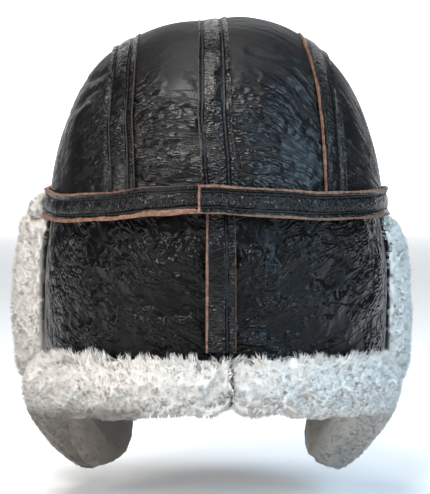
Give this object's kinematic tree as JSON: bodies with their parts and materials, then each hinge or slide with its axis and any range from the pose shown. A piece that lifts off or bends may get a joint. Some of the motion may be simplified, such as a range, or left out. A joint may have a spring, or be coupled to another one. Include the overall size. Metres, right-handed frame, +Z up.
{
  "type": "leather flying helmet",
  "caption": "Black leather flying helmet with a panelled crown, strips over its seams, a lapped band, a neck and ear skirt, and cream wool trim and lining.",
  "frame": {"origin": "middle of the head opening, level with the lower edge of the band, where the helmet sits on a head", "axes": "+Z up through the crown, +Y towards the face, +X towards the side that is on the right when the helmet is seen from behind"},
  "size_m": [0.2473, 0.2551, 0.2755],
  "materials": {
    "panel_leather": "satin, creased and pebbled",
    "strip_leather": "satin with raw tan edges",
    "trim_wool": "long soft pile",
    "lining_wool": "short soft pile"
  },
  "bodies": {
    "root": {"crown_side_left": "panel_leather", "crown_middle_left": "panel_leather", "crown_middle_right": "panel_leather", "crown_side_right": "panel_leather", "crown_strip_left": "strip_leather", "crown_strip_centre": "strip_leather", "crown_strip_right": "strip_leather", "head_band": "strip_leather", "skirt_left": "panel_leather", "skirt_right": "panel_leather", "neck_strip": "strip_leather", "trim_left": "trim_wool", "trim_right": "trim_wool", "brow_trim": "trim_wool", "skirt_lining_left": "lining_wool", "skirt_lining_right": "lining_wool", "crown_lining": "lining_wool"}
  },
  "joints": []
}
